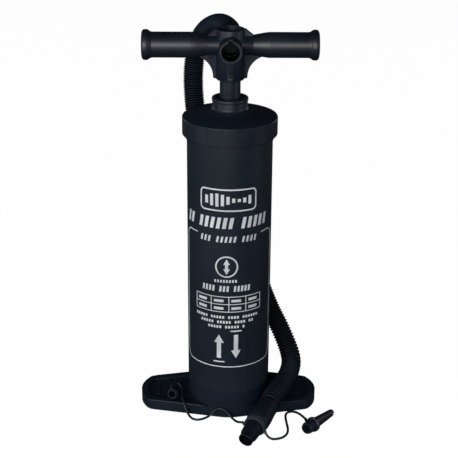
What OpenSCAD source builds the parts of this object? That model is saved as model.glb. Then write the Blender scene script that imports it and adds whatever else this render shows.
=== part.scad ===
// Double action hand pump: a foot base and barrel, and a T handle that drives a piston with four valves.
// The front of the pump faces -Y, the origin is the centre of the foot's underside, and +Z is up.

/* [Barrel] */
// Outer diameter of the barrel
barrel_od = 102; // [85:1:125]
// Wall of the barrel
barrel_wall = 3; // [2.5:0.5:5]
// Length of the barrel tube
barrel_len = 338.5; // [260:0.5:420]
// Outer radius of the thread rings above the barrel's wall
thread_rise = 1.2; // [0.8:0.1:2]

/* [Foot base] */
// Length of the foot over both wings
foot_len = 223; // [195:1:270]
// Height of the wings
foot_h = 14; // [12:0.5:20]
// Angle at which each wing narrows towards its end
foot_taper = 12.4; // [8:0.2:16]
// Radius of the rounded end of a wing
end_r = 45; // [40:1:50]
// Radius of the corners of a wing
corner_r = 14; // [10:1:18]
// Width of the raised lip round the tread
lip_w = 8; // [5:0.5:10]
// Depth of the tread below the lip
tread_drop = 2.5; // [2:0.5:7]
// Height of the cup that carries the barrel
cup_h = 35.5; // [30:0.5:50]
// Height of the spigot above the cup
spigot_h = 14.5; // [10:0.5:20]
// Wall of the base moulding
base_wall = 3; // [2.5:0.5:4]
// Number of tread ribs on each wing
rib_count = 3; // [1:1:4]
// Distance between the tread ribs
rib_pitch = 14; // [10:0.5:15]
// Width of a tread rib
rib_w = 3; // [2:0.5:5]

/* [Screw cap] */
// How far the cap stands out from the barrel
cap_proud = 5.4; // [4.6:0.1:12]
// Height of the cap's side
cap_side_h = 22; // [18:0.5:30]
// Wall of the cap
cap_wall = 4; // [3:0.5:5]
// Rise of the cap's shallow dome
cap_rise = 7; // [4:0.5:12]
// Number of finger grooves round the cap
groove_count = 20; // [8:1:30]
// Depth of the finger grooves
groove_depth = 0.6; // [0.3:0.1:1]
// Diameter of the boss on the cap
boss_od = 41.6; // [39:0.1:48]
// Height of the boss above the dome
boss_h = 15.5; // [12:0.5:22]

/* [Rod and piston] */
// Outer diameter of the piston rod
rod_od = 24.4; // [20:0.1:26]
// Wall of the rod
rod_wall = 2.5; // [2:0.1:3]
// Wall that splits the rod into two air channels
web_t = 2; // [1.5:0.1:3]
// Height of the piston
piston_h = 26; // [24:0.5:34]
// Distance of each valve from the axis
valve_at = 28; // [27:0.5:29]
// Radius of a valve's disc
valve_r = 8; // [6:0.5:8.5]
// Lift of a valve
valve_lift = 1.2; // [0.8:0.1:1.4]
// Distance of the piston screws from the axis
screw_at = 33; // [31:0.5:35]

/* [Handle] */
// Length of the handle over both grips
handle_len = 204; // [180:1:260]
// Diameter of the grips
grip_od = 29.6; // [27:0.1:34]
// Diameter of the flare at the end of a grip
flare_od = 35.2; // [32:0.1:42]
// Diameter of a grip where it meets the hub
neck_od = 23.6; // [22:0.1:26]
// Diameter of the hub
hub_od = 33.6; // [31:0.1:40]
// Height of the hub
hub_h = 59; // [56:0.5:70]
// Height of the grips' axis above the hub's lower end
grip_rise = 40; // [39:0.5:44]
// Clear length of rod between boss and hub with the handle down
hub_gap = 21; // [10:0.5:40]
// Outer diameter of the air ports
port_od = 26; // [25:0.1:28]
// Bore of the air ports
port_id = 20.9; // [18:0.1:21.5]
// Distance from the rod's axis to the mouth of each port
port_reach = 38; // [34:0.5:44]

/* [Hose and nozzle] */
// Outer diameter of the corrugated hose
hose_od = 25.5; // [20:0.5:26]
// Bore of the hose
hose_id = 18; // [14:0.5:19]
// Length of the connector outside the port
connector_len = 32; // [24:1:36]
// Length of the smooth cuff at the hose's free end
cuff_len = 38.5; // [25:0.5:45]
// Outer diameter of the cuff
cuff_od = 29; // [26:0.1:30]
// Outer diameter of the tether ring
ring_od = 27.5; // [26:0.1:29]
// Width of the tether ring
ring_w = 5; // [4:0.5:7]
// Length of the nozzle from the ring to its open end
nozzle_len = 28.5; // [24:0.5:45]
// Diameter of the nozzle's straight tip
tip_od = 18; // [17:0.5:20]
// Bore of the nozzle
tip_id = 14; // [10:0.5:15]
// Diameter of the tether cords
tether_d = 3; // [2:0.1:3.4]

/* [Hidden] */

$fn = 96;
eps = 0.5;            // overshoot of cuts past a face
fit = 0.1;            // gap round a piece that is fitted and stays put
run = 0.06;           // gap round a piece that slides or turns
rest = 0.2;           // gap between a stop and the piece that comes to rest on it

// Levels of the fixed body
barrel_r = barrel_od / 2;
cap_od = barrel_od + 2 * cap_proud;
bore_r = barrel_r - barrel_wall;
spigot_r = bore_r - fit;
spigot_top = cup_h + spigot_h;
floor_t = 4;
floor_top = spigot_top - 4;
barrel_top = cup_h + barrel_len;
gasket_t = 1.5;
cap_inner_z = barrel_top + gasket_t;
rim_z = cap_inner_z + cap_wall;
cap_low_z = rim_z - cap_side_h;
dome_z = rim_z + cap_rise;
boss_z = dome_z + boss_h;
thread_r = barrel_r + thread_rise;
cap_bore_r = cap_od / 2 - cap_wall;
rod_r = rod_od / 2;
bush_r = rod_r + 4.2;
boss_bore_r = bush_r + fit;
collar_r = boss_bore_r + 3;
collar_z = cap_inner_z - 3;
flange_t = 3.5;
bumper_t = 2.4;
wiper_t = 2.5;
wiper_z = boss_z - 4;
stop_z = collar_z - flange_t - bumper_t;

// Levels of the moving body, with the handle down
piston_z = spigot_top + rest;
piston_top = piston_z + piston_h;
stroke = stop_z - rest - piston_top;
plate_t = 3;
piston_r = bore_r - 1;
core_r = piston_r - 5;
seal_low = piston_z + piston_h * 0.35;
seal_high = piston_top - piston_h * 0.35;
rod_low = piston_z + 12;
sleeve_r = rod_r + fit + 2.8;
hub_z = boss_z + hub_gap;
hub_top = hub_z + hub_h;
axis_z = hub_z + grip_rise;
rod_top = axis_z - port_od / 2 - 3;
hub_screw_z = hub_z + 7.5;
plug_t = 2;
recess = 5.5;

// Small fasteners and valves
pin_r = 1.5;
pin_z = piston_top - 7;
stem_r = 1.5;
disc_t = 1.2;
bulb_r = 2.4;
screw_angles = [35, 145, 215, 325];
screw_r = 1.5;
head_r = 3.4;

// Hub and grips
neck_x = hub_od / 2 + 9.5;
arm_r = 9.8;
arm_x = handle_len / 2 - 12;
gusset_t = 4;
gusset_curve = 25;
shoulder_y = 14;
plug_z = hub_top - recess - plug_t;
plug_seat_r = hub_od / 2 - 1.6;
notch_w = 5;
notch_len = 8;
plug_r = port_id / 2 - fit;
seal_y = 20;
half_grip = handle_len / 2;

// Hose, cuff, nozzle and tethers: the free end lies on the floor in front of the foot
cuff_turn = 243;
cuff_dip = 12;
cuff_dir = [cos(cuff_turn) * cos(cuff_dip), sin(cuff_turn) * cos(cuff_dip), -sin(cuff_dip)];
ring_at = [32, -94.2, 15.2];
ring_fit = cuff_od / 2 - 3;
nozzle_r = 10.8;
cuff_start = ring_at - cuff_len * cuff_dir;
split = 16;
cut_gap = 0.3;
hose_route = [[0, port_reach + connector_len + 0.2, axis_z], [0, 77, axis_z],
    [-2, 85, 463.8], [-6, 93.5, 465], [-11.5, 101.5, 465], [-18.5, 108, 462.5], [-26, 112, 457.5], [-33, 113.5, 449.5], [-38.5, 113, 439.5],
    [-42, 110.5, 428], [-44, 107, 415], [-45, 102, 399], [-44.5, 96.5, 380], [-42.5, 91.5, 358],
    [-38.5, 87, 330], [-31.5, 84.5, 300], [-21.5, 84, 268], [-8, 84, 234], [8, 83.5, 202],
    [24, 81.5, 170], [36, 78, 141], [46.5, 73.5, 114], [56, 67.5, 93], [66, 58, 75.5],
    [75, 47, 58], [80.5, 36, 45.5], [82, 26, 37.4], [80, 16, 32], [76.5, 5, 29.2],
    [71.5, -7, 27.8], [66.5, -18, 27.4], [62, -29, 27.4], [57.4, -39.5, 27.3],
    [53.4, -49.5, 26.2], cuff_start - 4 * cuff_dir, cuff_start];
tether_left_route = [[17, -80.2, 10.8], [14.8, -73.5, 7], [12, -67.5, 3.5], [8.5, -62.5, 2.2],
    [4.2, -58.2, 3.8], [-0.5, -55, 8], [-5.5, -53, 12.2], [-11, -52, 13.6], [-16.5, -51, 11],
    [-21, -51.2, 6], [-26.5, -53.5, 2.4], [-33, -57.5, 1.8], [-39.5, -59.2, 1.8],
    [-45.5, -56.5, 2], [-50, -51, 4], [-53.5, -46.2, 9], [-55.8, -42.5, 14.5],
    [-57.5, -37.5, 17.3], [-58.6, -31, 18.2], [-58.8, -24, 19.5], [-59.5, -17, 22],
    [-62, -12.5, 25], [-66, -11.8, 27.4], [-69.6, -14.8, 29.2], [-71.2, -19.4, 29]];
tether_right_route = [[45, -101, 7.5], [48.6, -103, 3.7], [53.3, -103.8, 1.9], [59, -103, 1.8],
    [65, -100.2, 1.8], [69.8, -94.5, 1.8], [72.3, -87, 1.8], [72.8, -79, 1.8], [72.2, -70, 1.8],
    [71.6, -61, 1.8], [71.4, -52, 1.8], [72.6, -44.8, 1.8], [76, -40.8, 1.8], [80.6, -40.4, 2.2],
    [85.2, -43.8, 3.2], [89, -50.5, 4.8], [92.3, -58.5, 6.4], [95.2, -66.5, 7.6]];
hose_sides = 12;
tether_sides = 8;

// Adapters that hang on the tethers
left_at = [-71.4, -30, 21];
left_dir = unit([0.3, 0.94, -0.12]);
left_od = 12;
left_len = 19;
right_at = [94.4, -95.5, 11.5];
right_dir = unit([35.2, 49.5, -7]);
right_len = 61;
right_flange = 9.3;

// Direction and turn helpers
function unit(v) = v / norm(v);
function pointing(d) = [0, acos(d[2] / norm(d)), atan2(d[1], d[0])];
function arc(c, r, a, b, n) = [for (i = [0 : n]) c + r * [cos(a + (b - a) * i / n), sin(a + (b - a) * i / n)]];

module along(at, d) translate(at) rotate(pointing(d)) children();

module tube(r_out, r_in, z0, z1) {
    translate([0, 0, z0]) difference() {
        cylinder(r = r_out, h = z1 - z0);
        translate([0, 0, -eps]) cylinder(r = r_in, h = z1 - z0 + 2 * eps);
    }
}

// A round tube of constant section, swept along a route from one of its points to another
function heading(p, i) = unit(p[min(i + 1, len(p) - 1)] - p[max(i - 1, 0)]);
function sideways(p, i, last) = i >= len(p) ? [] :
    let (t = heading(p, i), s = unit(last - t * (last * t))) concat([s], sideways(p, i + 1, s));
function ring_points(p, s, i, r, sides, shift) =
    let (t = heading(p, i), u = s[i], v = cross(t, u))
    [for (k = [0 : sides - 1])
        p[i] + shift * t + r * (cos(360 * k / sides) * u + sin(360 * k / sides) * v)];

module swept(p, r, sides, first, last, gap = 0) {
    s = sideways(p, 0, [0.3, 0.1, 1]);
    rings = last - first + 1;
    points = [for (i = [first : last], q = ring_points(p, s, i, r, sides, i == first ? gap : 0)) q];
    walls = [for (i = [0 : rings - 2], k = [0 : sides - 1], half = [0, 1])
        let (a = i * sides + k, b = i * sides + (k + 1) % sides)
        half == 0 ? [a, a + sides, b] : [b, a + sides, b + sides]];
    start = [for (k = [0 : sides - 1]) k];
    end = [for (k = [sides - 1 : -1 : 0]) (rings - 1) * sides + k];
    polyhedron(points = points, faces = concat([start], walls, [end]), convexity = 10);
}

// Tapered tab from a point on a round piece to the end of a tether
module tab(root, root_dir, root_w, route, i, root_r = 1.6) {
    way = i == 0 ? heading(route, 0) : -heading(route, i);
    hull() {
        along(root, root_dir) cylinder(r = root_r, h = root_w, center = true, $fn = 16);
        along(route[i] - 1.2 * way, way) cylinder(r = tether_d / 2 + 0.2, h = 1.2, $fn = 16);
    }
}

// Foot base ------------------------------------------------------------------
wing_x = foot_len / 2 - end_r;
blend_a = asin((barrel_r - corner_r - wing_x * sin(foot_taper)) / (end_r - corner_r)) - foot_taper;
corner_c = [wing_x + (end_r - corner_r) * cos(blend_a), (end_r - corner_r) * sin(blend_a)];

// Plan of the foot, drawn in by a distance
function foot_quarter(inset) = concat(
    arc([wing_x, 0], end_r - inset, 0, blend_a, 4),
    arc(corner_c, corner_r - inset, blend_a + 8, 90 - foot_taper, 5),
    arc([0, 0], barrel_r - inset, 90 - foot_taper, 90, 3));
function mirrored(p, sx, sy, back) = [for (i = [0 : len(p) - 1])
    let (q = p[back ? len(p) - 1 - i : i]) [q[0] * sx, q[1] * sy]];
function foot_plan(inset) = let (q = foot_quarter(inset)) concat(
    q, mirrored(q, -1, 1, true), mirrored(q, -1, -1, false), mirrored(q, 1, -1, true));

module foot_slab(inset, z0, z1) {
    translate([0, 0, z0]) linear_extrude(z1 - z0) polygon(foot_plan(inset));
}

module tread_ribs() {
    rib_low = foot_h - tread_drop;
    for (side = [-1, 1], i = [0 : rib_count - 1]) {
        x = side * (barrel_r + 11 + i * rib_pitch);
        back = (barrel_r / cos(foot_taper)) - abs(x) * tan(foot_taper) - lip_w - 1.5;
        translate([x - rib_w / 2, -9.5, rib_low - eps]) cube([rib_w, back + 9.5, tread_drop - 1.5 + eps]);
        translate([x, -9.5, rib_low - eps]) cylinder(r = rib_w / 2 + 0.4, h = tread_drop - 1.5 + eps, $fn = 24);
    }
}

module foot_base() color("#242c36") {
    tread_z = foot_h - tread_drop;
    hollow_r = spigot_r - base_wall;
    difference() {
        union() {
            difference() {
                foot_slab(0, 0, foot_h);
                difference() {
                    foot_slab(lip_w, tread_z, foot_h + eps);
                    cylinder(r = barrel_r + 2.5, h = foot_h + 1);
                }
                difference() {
                    foot_slab(base_wall, -eps, tread_z - base_wall);
                    translate([0, 0, -1]) cylinder(r = barrel_r, h = foot_h);
                    for (share = [-0.77, -0.61, 0.61, 0.77], x = [share * foot_len / 2 - 1])
                        translate([x, -barrel_r, -1]) cube([2, barrel_od, foot_h]);
                }
            }
            cylinder(r = barrel_r, h = cup_h - 1);
            cylinder(r = barrel_r - 0.7, h = cup_h);
            cylinder(r = spigot_r, h = spigot_top);
            tread_ribs();
        }
        translate([0, 0, -eps]) cylinder(r = hollow_r, h = floor_top - floor_t + eps);
        translate([0, 0, floor_top]) cylinder(r = hollow_r, h = spigot_h);
        tube(spigot_r + eps, spigot_r - 1.4, cup_h + 6, cup_h + 8.4);
    }
    for (a = [0 : 60 : 120]) intersection() {
        cylinder(r = hollow_r + eps, h = floor_top - floor_t + eps);
        rotate(a) translate([-barrel_r, -1.25, 0]) cube([barrel_od, 2.5, floor_top]);
    }
}

module base_seal() color("#101010") tube(spigot_r, spigot_r - 1.4, cup_h + 6, cup_h + 8.4);

module bottom_bumper() color("#151515")
    tube(spigot_r - base_wall - 1, spigot_r - base_wall - 5, floor_top, spigot_top);

// Barrel ---------------------------------------------------------------------
module barrel() color("#27303b") difference() {
    union() {
        translate([0, 0, cup_h]) cylinder(r = barrel_r, h = barrel_len);
        for (i = [0 : 2]) translate([0, 0, barrel_top - 3 - i * 5]) cylinder(r = thread_r, h = 2);
        translate([0, 0, cap_low_z - 6]) cylinder(r = barrel_r + 0.8, h = 2.4);
    }
    translate([0, 0, cup_h - eps]) cylinder(r = bore_r, h = barrel_len + 2 * eps);
}

// Screw cap and what it holds ------------------------------------------------
module cap_side_grooves() {
    for (i = [0 : groove_count - 1]) rotate((i + 0.5) * 360 / groove_count)
        translate([cap_od / 2 - groove_depth, -1.9, cap_low_z + 2.5])
            cube([4, 3.8, cap_side_h - 6]);
}

module screw_cap() color("#222a33") difference() {
    rotate_extrude() polygon([
        [boss_bore_r, collar_z], [collar_r, collar_z], [collar_r, dome_z - cap_wall],
        [cap_bore_r - 6, cap_inner_z], [cap_bore_r, cap_inner_z], [cap_bore_r, cap_low_z],
        [cap_od / 2 - 0.8, cap_low_z], [cap_od / 2, cap_low_z + 0.8], [cap_od / 2, rim_z - 1.6],
        [cap_od / 2 - 0.5, rim_z - 0.5], [cap_od / 2 - 1.8, rim_z], [boss_od / 2 + 2, dome_z],
        [boss_od / 2, dome_z + 1.5], [boss_od / 2, boss_z - 1.5], [boss_od / 2 - 1.5, boss_z],
        [boss_bore_r, boss_z]]);
    cap_side_grooves();
}

module cap_gasket() color("#101010") tube(cap_bore_r - 0.2, bore_r + 0.2, barrel_top, cap_inner_z);

module guide_bush() color("#cfcfca") rotate_extrude() polygon([
    [rod_r + run, collar_z - flange_t], [collar_r, collar_z - flange_t], [collar_r, collar_z],
    [bush_r, collar_z], [bush_r, wiper_z], [rod_r + run, wiper_z]]);

module rod_wiper() color("#0c0c0c") rotate_extrude() polygon([
    [rod_r + run, wiper_z], [bush_r, wiper_z], [bush_r, wiper_z + wiper_t - 0.8],
    [bush_r - 0.8, wiper_z + wiper_t], [rod_r + run + 0.8, wiper_z + wiper_t],
    [rod_r + run, wiper_z + wiper_t - 0.8]]);

module top_bumper() color("#151515") tube(collar_r - 2.5, rod_r + 0.6, stop_z, collar_z - flange_t);

// Piston, valves and rod -----------------------------------------------------
module rod_web(r, z0, z1) {
    intersection() {
        translate([0, 0, z0]) cylinder(r = r, h = z1 - z0);
        translate([-r, -web_t / 2, z0 - eps]) cube([2 * r, web_t, z1 - z0 + 2 * eps]);
    }
}

module cross_hole(r, z, reach) translate([0, 0, z]) rotate([90, 0, 0])
    cylinder(r = r, h = 2 * reach, center = true, $fn = 24);

module piston_rod() color("#8d93a6") difference() {
    union() {
        tube(rod_r, rod_r - rod_wall, rod_low, rod_top);
        rod_web(rod_r - rod_wall + 0.2, rod_low, rod_top);
    }
    cross_hole(pin_r + 0.05, pin_z, rod_r + 1);
    for (side = [-1, 1]) translate([0, side * rod_r, hub_screw_z]) rotate([90, 0, 0])
        cylinder(r = 1.5, h = 2 * rod_wall + 1, center = true, $fn = 24);
}

module rod_pin() color("#b8bcc2") translate([0, 0, pin_z]) rotate([90, 0, 0])
    cylinder(r = pin_r, h = 2 * sleeve_r - 0.4, center = true, $fn = 24);

module valve_ports(y, z0, z1) {
    for (a = [0 : 60 : 300]) translate([0, y, 0]) rotate(a)
        translate([valve_r * 0.56, 0, z0]) cylinder(r = 1.7, h = z1 - z0, $fn = 20);
    translate([0, y, z0]) cylinder(r = stem_r + run, h = z1 - z0, $fn = 24);
}

module piston_lower() color("#c9c6bb") difference() {
    union() {
        tube(piston_r, core_r - 0.2, piston_z, seal_low);
        tube(core_r, core_r - 2.5, piston_z, piston_top - plate_t);
        translate([0, 0, piston_z]) cylinder(r = piston_r, h = plate_t);
        translate([0, 0, piston_z]) intersection() {
            cylinder(r = core_r - 1, h = piston_h - plate_t);
            translate([-core_r, -web_t / 2, 0]) cube([2 * core_r, web_t, piston_h]);
        }
        for (a = screw_angles) rotate(a) translate([screw_at, 0, piston_z])
            cylinder(r = 4, h = piston_h - plate_t, $fn = 32);
    }
    translate([0, 0, rod_low - 0.2]) cylinder(r = sleeve_r + fit, h = piston_h);
    valve_ports(-valve_at, piston_z - eps, piston_z + plate_t + eps);
    valve_ports(valve_at, piston_z - eps, piston_z + plate_t + eps);
    for (a = screw_angles) rotate(a) translate([screw_at, 0, piston_z - eps]) {
        cylinder(r = 3.6, h = 2.4 + eps, $fn = 32);
        cylinder(r = 1.6, h = piston_h, $fn = 24);
    }
}

module piston_upper() color("#c9c6bb") difference() {
    union() {
        translate([0, 0, piston_top - plate_t]) cylinder(r = piston_r, h = plate_t);
        tube(piston_r, core_r + fit, seal_high, piston_top - plate_t + 0.2);
        translate([0, 0, rod_low]) cylinder(r = sleeve_r, h = piston_top - rod_low);
    }
    translate([0, 0, rod_low - eps]) cylinder(r = rod_r + fit, h = piston_h);
    valve_ports(-valve_at, piston_top - plate_t - eps, piston_top + eps);
    valve_ports(valve_at, piston_top - plate_t - eps, piston_top + eps);
    for (a = screw_angles) rotate(a) translate([screw_at, 0, piston_top - plate_t - eps])
        cylinder(r = 1.6, h = plate_t - 0.5 + eps, $fn = 24);
    cross_hole(pin_r + 0.05, pin_z, sleeve_r + 1);
}

module piston_seal() color("#0f0f0f") rotate_extrude() polygon([
    [core_r + fit, seal_low], [bore_r - run, seal_low], [bore_r - run, seal_low + 1.4],
    [bore_r - 1.6, seal_low + 2.4], [bore_r - 1.6, seal_high - 2.4], [bore_r - run, seal_high - 1.4],
    [bore_r - run, seal_high], [core_r + fit, seal_high]]);

module piston_screws() color("#b8bcc2") {
    for (a = screw_angles) rotate(a) translate([screw_at, 0, piston_z]) difference() {
        union() {
            translate([0, 0, 0.2]) cylinder(r = 3.4, h = 2.2, $fn = 32);
            translate([0, 0, 1]) cylinder(r = 1.5, h = piston_h - 2, $fn = 24);
        }
        for (turn = [0, 90]) rotate(turn) translate([-2, -0.4, 0]) cube([4, 0.8, 1.2]);
    }
}

// Mushroom valve on one face of a plate; way is the side of the plate that its disc lies on
module valve(y, plate_low, way) {
    seat = way > 0 ? plate_low + plate_t : plate_low;
    gap = 0.05;
    translate([0, y, seat]) scale_z(way) {
        translate([0, 0, gap]) cylinder(r = valve_r, h = disc_t, $fn = 48);
        translate([0, 0, -plate_t - valve_lift - 0.4]) cylinder(r = stem_r, h = plate_t + valve_lift + 1, $fn = 24);
        translate([0, 0, -plate_t - valve_lift - 1.6]) cylinder(r1 = 1, r2 = bulb_r, h = 1.3, $fn = 24);
    }
}

module scale_z(way) {
    if (way > 0) children();
    else rotate([180, 0, 0]) children();
}

module inflate_valve_lower() color("#9a3b2a") valve(-valve_at, piston_z, 1);
module inflate_valve_upper() color("#9a3b2a") valve(-valve_at, piston_top - plate_t, -1);
module deflate_valve_lower() color("#9a3b2a") valve(valve_at, piston_z, -1);
module deflate_valve_upper() color("#9a3b2a") valve(valve_at, piston_top - plate_t, 1);

// Handle ---------------------------------------------------------------------
// Outline of a grip in half section, from the hub outwards, grown by a distance
function grip_outline(grow) = [
    [neck_od / 2 + grow, neck_x - grow], [neck_od / 2 + 0.5 + grow, neck_x + 3],
    [grip_od / 2 - 1.6 + grow, neck_x + 8], [grip_od / 2 - 0.7 + grow, neck_x + 13],
    [grip_od / 2 - 0.1 + grow, neck_x + 18], [grip_od / 2 + grow, neck_x + 23],
    [grip_od / 2 + grow, half_grip - 13], [grip_od / 2 + 0.5 + grow, half_grip - 10.5],
    [flare_od / 2 - 0.6 + grow, half_grip - 8.4], [flare_od / 2 + grow, half_grip - 7.2],
    [flare_od / 2 + grow, half_grip - 3.4], [flare_od / 2 - 0.8 + grow, half_grip - 1.2],
    [flare_od / 2 - 2.6 + grow, half_grip]];

// Curved web under an arm, with room for the grip
module gusset(side) {
    centre = [hub_od / 2 + gusset_curve + 3.2, 3];
    outer = [for (i = [0 : 10]) centre + gusset_curve * [-cos(i * 7), sin(i * 7)]];
    difference() {
        translate([0, gusset_t / 2, hub_z]) rotate([90, 0, 0]) linear_extrude(gusset_t)
            polygon([for (p = concat([[10, 1], [hub_od / 2 + 2.2, 1]], outer, [[10, grip_rise - 4]]))
                [side * p[0], p[1]]]);
        translate([0, 0, axis_z]) rotate([0, side * 90, 0])
            rotate_extrude() polygon(concat([[0, neck_x - fit]], grip_outline(fit), [[0, half_grip]]));
    }
}

module top_shoulder(side) {
    translate([0, 4, hub_z]) rotate([90, 0, 0]) linear_extrude(8)
        polygon([for (p = [[10, hub_h - 12], [hub_od / 2 + 9.5, grip_rise + neck_od / 2 - 2],
            [hub_od / 2 + 9.5, grip_rise + neck_od / 2 - 0.4], [hub_od / 2 + 1, hub_h - 0.6],
            [10, hub_h - 0.6]]) [side * p[0], p[1]]]);
}

module handle_hub() color("#262e38") difference() {
    union() {
        translate([0, 0, hub_z]) cylinder(r1 = hub_od / 2 - 1, r2 = hub_od / 2, h = 1.5);
        translate([0, 0, hub_z + 1.5]) cylinder(r = hub_od / 2, h = hub_h - 2);
        translate([0, 0, hub_top - 0.5]) cylinder(r1 = hub_od / 2, r2 = hub_od / 2 - 0.5, h = 0.5);
        translate([0, 0, axis_z]) rotate([90, 0, 0]) cylinder(r = port_od / 2, h = 2 * port_reach, center = true);
        translate([0, 0, axis_z]) rotate([0, 90, 0]) cylinder(r = neck_od / 2, h = 2 * neck_x, center = true);
        translate([0, 0, axis_z]) rotate([0, 90, 0]) cylinder(r = arm_r, h = 2 * arm_x, center = true);
        for (side = [-1, 1]) {
            gusset(side);
            top_shoulder(side);
        }
    }
    translate([0, 0, hub_z - eps]) cylinder(r = rod_r + fit, h = rod_top - hub_z + eps);
    for (side = [-1, 1]) {
        translate([0, side * port_reach, axis_z]) rotate([90, 0, 0])
            cylinder(r = port_id / 2, h = 2 * (port_reach - shoulder_y), center = true);
        intersection() {
            translate([0, 0, axis_z]) rotate([90, 0, 0]) cylinder(r = rod_r - rod_wall, h = 2 * port_reach, center = true);
            translate([-hub_od, side > 0 ? web_t / 2 : -port_reach - web_t / 2, hub_z])
                cube([2 * hub_od, port_reach, hub_h]);
        }
        intersection() {
            translate([0, 0, rod_top - 1]) cylinder(r = rod_r - rod_wall, h = axis_z - rod_top + 1);
            translate([-hub_od, side > 0 ? web_t / 2 : -port_reach - web_t / 2, hub_z])
                cube([2 * hub_od, port_reach, hub_h]);
        }
        translate([-notch_w / 2, side > 0 ? port_reach - notch_len : -port_reach - eps, axis_z + 5])
            cube([notch_w, notch_len + eps, port_od / 2]);
        translate([side * (hub_od / 2 + 6), 0, axis_z]) rotate([0, side * 90, 0])
            cylinder(r = arm_r - 2.8, h = arm_x);
        translate([0, side * hub_od / 2, hub_screw_z]) rotate([90, 0, 0]) {
            cylinder(r = 1.6, h = hub_od / 2, center = true, $fn = 24);
            cylinder(r = 2.9, h = 2.6, center = true, $fn = 32);
        }
    }
    translate([0, 0, plug_z]) cylinder(r = plug_seat_r, h = recess + plug_t + eps);
}

module hub_cap() color("#1c222a") translate([0, 0, plug_z])
    cylinder(r = plug_seat_r - fit, h = plug_t);

module hub_screws() color("#9aa0a8") {
    for (side = [-1, 1]) translate([0, side * hub_od / 2, hub_screw_z]) rotate([side * -90, 0, 0]) difference() {
        union() {
            translate([0, 0, -1.3]) cylinder(r = 2.7, h = 1, $fn = 32);
            translate([0, 0, -0.3]) cylinder(r1 = 2.7, r2 = 1.9, h = 0.6, $fn = 32);
            translate([0, 0, -6.2]) cylinder(r = 1.45, h = 5.5, $fn = 24);
        }
        for (turn = [0, 90]) rotate(turn) translate([-1.6, -0.35, -0.6]) cube([3.2, 0.7, 2]);
    }
}

module grip(side) {
    translate([0, 0, axis_z]) rotate([0, side * 90, 0]) rotate_extrude() polygon(concat(
        [[arm_r + fit, neck_x]], grip_outline(0),
        [[0, half_grip], [0, half_grip - 3], [arm_r + fit, half_grip - 3]]));
}

module grip_left() color("#20262f") grip(-1);
module grip_right() color("#20262f") grip(1);

// Hose -----------------------------------------------------------------------
module hose_connector() color("#232b34") translate([0, 0, axis_z]) difference() {
    union() {
        rotate([-90, 0, 0]) rotate_extrude() polygon([
            [hose_id / 2, shoulder_y + 0.5], [plug_r - 0.8, shoulder_y + 0.5], [plug_r, shoulder_y + 1.5],
            [plug_r, seal_y], [plug_r - 1.2, seal_y], [plug_r - 1.2, seal_y + 2], [plug_r, seal_y + 2],
            [plug_r, port_reach + 0.1], [port_od / 2, port_reach + 0.1], [port_od / 2, port_reach + 4],
            [port_od / 2 - 0.5, port_reach + 5], [port_od / 2 - 0.5, port_reach + connector_len],
            [hose_id / 2, port_reach + connector_len]]);
        translate([-notch_w / 2 + 0.3, port_reach - notch_len + 1, plug_r - 2])
            cube([notch_w - 0.6, notch_len, port_od / 2 - plug_r + 1.8]);
    }
    rotate([-90, 0, 0]) cylinder(r = hose_id / 2, h = port_reach + connector_len + 1);
}

module connector_seal() color("#0e0e0e") translate([0, 0, axis_z]) rotate([-90, 0, 0])
    tube(port_id / 2 - 0.02, plug_r - 1.2, seal_y, seal_y + 2);

module hose_upper() color("#1d232c") swept(hose_route, hose_od / 2, hose_sides, 0, split);

module hose_lower() color("#1d232c") 
    swept(hose_route, hose_od / 2, hose_sides, split, len(hose_route) - 1, cut_gap);

module hose_cuff() color("#2a323c") along(cuff_start, cuff_dir) rotate_extrude() polygon([
    [hose_id / 2 - 1, 0], [cuff_od / 2 - 0.8, 0], [cuff_od / 2, 1], [cuff_od / 2, cuff_len - ring_w / 2 - 2.6],
    [cuff_od / 2 - 2.2, cuff_len - ring_w / 2 - fit], [hose_id / 2 - 1, cuff_len - ring_w / 2 - fit]]);

// Point on a round piece's edge that faces a tether's end
function edge_towards(at, dir, r, goal) =
    let (out = goal - at) at + r * unit(out - dir * (out * dir));

module tether_ring() color("#59616d") {
    along(ring_at, cuff_dir) tube(ring_od / 2, ring_fit + fit, -ring_w / 2, ring_w / 2);
    for (route = [tether_left_route, tether_right_route])
        tab(edge_towards(ring_at, cuff_dir, ring_od / 2 - 0.3, route[0]), cuff_dir, ring_w - 1, route, 0);
}

module nozzle() color("#1f262f") along(ring_at, cuff_dir) difference() {
    low = ring_w / 2;
    taper_len = nozzle_len - 8 - low;
    union() {
        translate([0, 0, -low]) cylinder(r = ring_fit, h = ring_w);
        translate([0, 0, low]) cylinder(r1 = nozzle_r, r2 = tip_od / 2 + 0.6, h = taper_len);
        translate([0, 0, low]) cylinder(r = tip_od / 2, h = nozzle_len - low);
    }
    translate([0, 0, -low - eps]) cylinder(r = tip_id / 2, h = nozzle_len + low + 2 * eps);
}

// Tethers and their adapters -------------------------------------------------
module tether_left() color("#39424e")
    swept(tether_left_route, tether_d / 2, tether_sides, 0, len(tether_left_route) - 1);

module tether_right() color("#39424e")
    swept(tether_right_route, tether_d / 2, tether_sides, 0, len(tether_right_route) - 1);

module adapter_left() color("#2c343f") {
    collar = 4;
    collar_at = left_at + collar * left_dir;
    end = len(tether_left_route) - 1;
    along(left_at, left_dir) tube(left_od / 2, left_od / 2 - 1.6, 0, left_len);
    along(collar_at, left_dir) tube(left_od / 2 + 0.9, left_od / 2 - 0.2, -1.5, 1.5);
    tab(edge_towards(collar_at, left_dir, left_od / 2 + 0.5, tether_left_route[end]), left_dir, 2.4,
        tether_left_route, end);
}

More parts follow.
